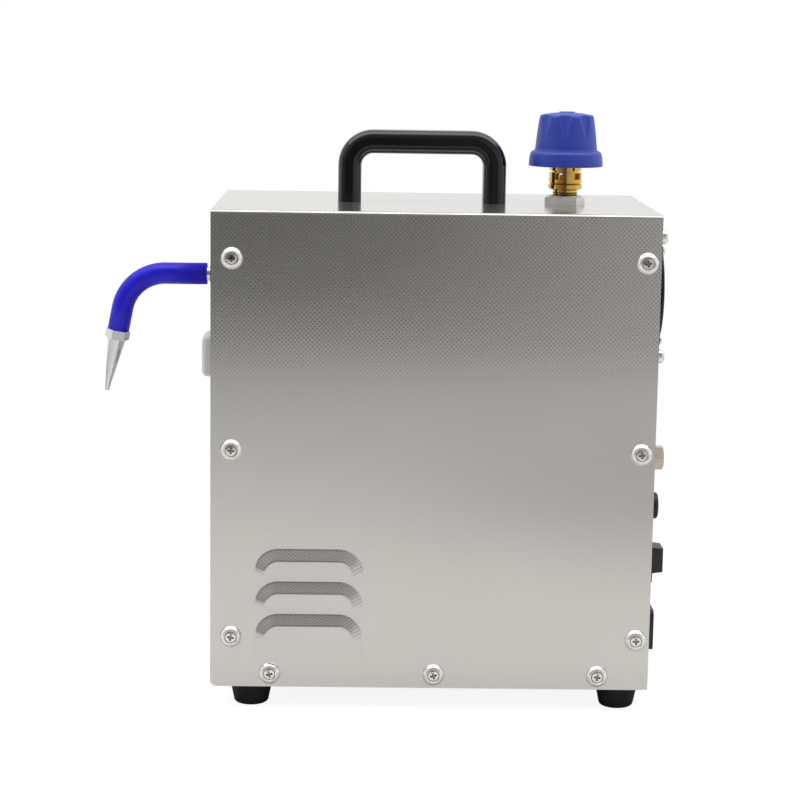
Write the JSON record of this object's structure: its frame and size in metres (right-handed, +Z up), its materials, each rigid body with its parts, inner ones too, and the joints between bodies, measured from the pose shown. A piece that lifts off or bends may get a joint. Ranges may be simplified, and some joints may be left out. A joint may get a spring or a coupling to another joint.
{
  "type": "jewelry steam cleaner",
  "caption": "Bench-top steam cleaner: stainless cabinet round a small boiler, bent sleeved nozzle, screw-down safety filler cap, carrying handle and rear fittings.",
  "frame": {"origin": "middle of the overall box, on the surface the feet stand on", "axes": "+Z up, -X out of the nozzle, +X out of the rear panel, +Y across the cabinet"},
  "size_m": [0.3966, 0.196, 0.4055],
  "materials": {
    "cover": "embossed linen-pattern stainless, satin",
    "chassis": "plain satin stainless",
    "screws": "bright nickel plate",
    "feet": "moulded rubber",
    "handle": "glossy moulded nylon",
    "stainless": "turned stainless",
    "seal": "silicone ring",
    "brass": "machined brass",
    "knob": "satin moulded phenolic",
    "sleeve": "satin silicone",
    "chrome": "polished",
    "black_plastic": "moulded nylon",
    "boot": "clear silicone",
    "dial": "white enamel",
    "needle": "black paint",
    "lens": "clear",
    "red_lens": "translucent red",
    "green_lens": "translucent green",
    "copper": "drawn copper",
    "fuse_glass": "glass fuse with nickel ends",
    "board": "green laminate with black parts"
  },
  "bodies": {
    "cabinet": {"cover": "cover", "front_panel": "chassis", "base_pan": "chassis", "rear_panel": "chassis", "cover_screws": "screws", "cup_washers": "screws", "foot_front_left": "feet", "foot_front_right": "feet", "foot_rear_left": "feet", "foot_rear_right": "feet", "foot_screws": "screws", "handle": "handle", "handle_screws": "screws", "filler_neck": "stainless", "neck_nut": "stainless", "nozzle_tube": "chrome", "nozzle_sleeve": "sleeve", "nozzle_tip": "chrome", "nozzle_union": "chrome", "power_switch_housing": "black_plastic", "switch_boot": "boot", "gauge_case": "chrome", "gauge_dial": "dial", "gauge_lens": "lens", "power_lamp": "red_lens", "heat_lamp": "green_lens", "fan_frame": "black_plastic", "fan_guard": "needle", "m3_screws": "screws", "bracket_screws": "screws", "drain_spigot": "brass", "fuse_holder": "black_plastic", "power_inlet": "black_plastic", "inlet_pins": "screws", "pedal_socket": "black_plastic", "pedal_contacts": "brass", "boiler_shell": "stainless", "boiler_strap": "chassis", "boiler_top_bracket": "chassis", "heating_element": "stainless", "pressure_switch": "black_plastic", "valve_body": "brass", "valve_coil": "black_plastic", "valve_spring": "screws", "steam_pipe": "copper", "gauge_pipe": "copper", "control_board": "board"},
    "seal": {"cap_seal": "seal"},
    "cap": {"cap_plug": "brass", "cap_knob": "knob", "relief_spring": "screws"},
    "poppet": {"relief_poppet": "brass"},
    "rocker": {"power_switch_rocker": "black_plastic"},
    "needle": {"gauge_needle": "needle"},
    "fan": {"fan_rotor": "black_plastic"},
    "drain_washer": {"drain_washer": "copper"},
    "drain_cap": {"drain_cap": "brass"},
    "fuse": {"fuse_link": "fuse_glass"},
    "fuse_cap": {"fuse_cap": "black_plastic"},
    "plunger": {"valve_plunger": "stainless"}
  },
  "joints": [
    {"name": "cap_lift", "type": "slide", "parent": "cabinet", "child": "seal", "axis": [0, 0, 1], "range_m": [0, 0.01275]},
    {"name": "cap_turn", "type": "hinge", "parent": "seal", "child": "cap", "pos_m": [0.1256, 0, 0.355], "axis": [0, 0, 1], "range_deg": [0, 3060.5]},
    {"name": "relief_lift", "type": "slide", "parent": "cap", "child": "poppet", "axis": [0, 0, 1], "range_m": [0, 0.002], "stiffness_N_per_m": 1500, "springref_m": -0.008, "deforming": ["relief_spring"]},
    {"name": "power_rocker", "type": "hinge", "parent": "cabinet", "child": "rocker", "pos_m": [-0.1117, -0.055, 0.2394], "axis": [0, 1, 0], "range_deg": [0, 24]},
    {"name": "gauge_sweep", "type": "hinge", "parent": "cabinet", "child": "needle", "pos_m": [-0.1114, 0.05, 0.237], "axis": [1, 0, 0], "range_deg": [0, 270], "stiffness_Nm_per_rad": 0.0005},
    {"name": "fan_spin", "type": "hinge", "parent": "cabinet", "child": "fan", "pos_m": [0.1831, -0.052, 0.2865], "axis": [1, 0, 0], "continuous": true},
    {"name": "drain_cap_out", "type": "slide", "parent": "cabinet", "child": "drain_washer", "axis": [1, 0, 0], "range_m": [0, 0.0087]},
    {"name": "drain_cap_turn", "type": "hinge", "parent": "drain_washer", "child": "drain_cap", "pos_m": [0.1831, -0.02, 0.164], "axis": [1, 0, 0], "range_deg": [0, 2088.5]},
    {"name": "fuse_draw", "type": "slide", "parent": "cabinet", "child": "fuse", "axis": [1, 0, 0], "range_m": [0, 0.034]},
    {"name": "fuse_cap_turn", "type": "hinge", "parent": "fuse", "child": "fuse_cap", "pos_m": [0.1831, -0.038, 0.133], "axis": [1, 0, 0], "range_deg": [0, 60]},
    {"name": "valve_lift", "type": "slide", "parent": "cabinet", "child": "plunger", "axis": [0, 1, 0], "range_m": [0, 0.002], "stiffness_N_per_m": 400, "springref_m": -0.005, "deforming": ["valve_spring"]}
  ],
  "couplings": [
    {"joint": "cap_turn", "follows": "cap_lift", "rad_per_m": 4188.8},
    {"joint": "drain_cap_turn", "follows": "drain_cap_out", "rad_per_m": 4188.8}
  ]
}
